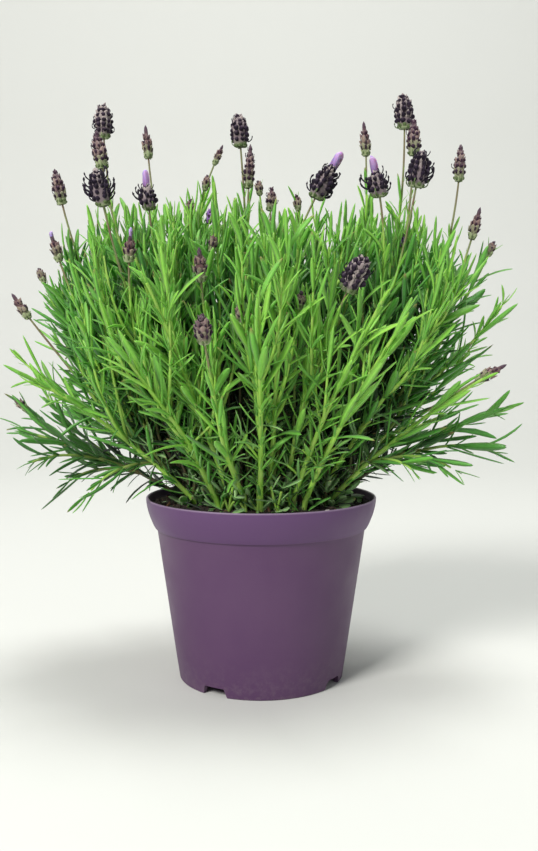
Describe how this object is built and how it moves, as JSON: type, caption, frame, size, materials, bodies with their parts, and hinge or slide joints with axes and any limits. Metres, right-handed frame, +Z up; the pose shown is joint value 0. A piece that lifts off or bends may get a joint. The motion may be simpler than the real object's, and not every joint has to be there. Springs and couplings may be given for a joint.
{
  "type": "potted lavender plant",
  "caption": "Young lavender plant with narrow green leaves and purple flower spikes on thin stalks, in a tapered purple plastic nursery pot with a flared collar and notched foot.",
  "frame": {"origin": "on the ground under the middle of the pot, which is also the bottom centre of the bounding box", "axes": "+Z up; -Y is the front, where the plant is most open over the soil; +X to the right seen from the front; the plant spreads widest along X and least along Y"},
  "size_m": [0.282, 0.212, 0.31],
  "materials": {
    "pot_plastic": "satin moulded purple polypropylene, slightly bluer on the collar",
    "soil": "moist dark peat with crumbs, bark and a few light grains of perlite",
    "leaves": "soft matte green leaf, lighter on young leaves",
    "flower_heads": "dark purple downy calyxes on green stalks with green leaves",
    "bracts": "thin violet petals"
  },
  "bodies": {
    "root": {"bracts_e": "bracts", "bracts_g": "bracts", "bracts_h": "bracts", "bracts_r": "bracts", "bracts_z": "bracts", "flowering_shoot_a": "flower_heads", "flowering_shoot_ab": "flower_heads", "flowering_shoot_ad": "flower_heads", "flowering_shoot_ae": "flower_heads", "flowering_shoot_af": "flower_heads", "flowering_shoot_ai": "flower_heads", "flowering_shoot_aj": "flower_heads", "flowering_shoot_b": "flower_heads", "flowering_shoot_c": "flower_heads", "flowering_shoot_d": "flower_heads", "flowering_shoot_e": "flower_heads", "flowering_shoot_f": "flower_heads", "flowering_shoot_g": "flower_heads", "flowering_shoot_h": "flower_heads", "flowering_shoot_k": "flower_heads", "flowering_shoot_m": "flower_heads", "flowering_shoot_n": "flower_heads", "flowering_shoot_p": "flower_heads", "flowering_shoot_r": "flower_heads", "flowering_shoot_u": "flower_heads", "flowering_shoot_v": "flower_heads", "flowering_shoot_w": "flower_heads", "flowering_shoot_x": "flower_heads", "flowering_shoot_y": "flower_heads", "flowering_shoot_z": "flower_heads", "leafy_shoot_01": "leaves", "leafy_shoot_02": "leaves", "leafy_shoot_03": "leaves", "leafy_shoot_04": "leaves", "leafy_shoot_05": "leaves", "leafy_shoot_06": "leaves", "leafy_shoot_07": "leaves", "leafy_shoot_08": "leaves", "leafy_shoot_09": "leaves", "leafy_shoot_10": "leaves", "leafy_shoot_11": "leaves", "leafy_shoot_12": "leaves", "leafy_shoot_13": "leaves", "leafy_shoot_14": "leaves", "leafy_shoot_15": "leaves", "leafy_shoot_16": "leaves", "leafy_shoot_17": "leaves", "leafy_shoot_18": "leaves", "leafy_shoot_19": "leaves", "leafy_shoot_20": "leaves", "leafy_shoot_21": "leaves", "leafy_shoot_22": "leaves", "leafy_shoot_23": "leaves", "leafy_shoot_24": "leaves", "leafy_shoot_25": "leaves", "leafy_shoot_26": "leaves", "leafy_shoot_27": "leaves", "leafy_shoot_28": "leaves", "pot": "pot_plastic", "soil": "soil"}
  },
  "joints": []
}
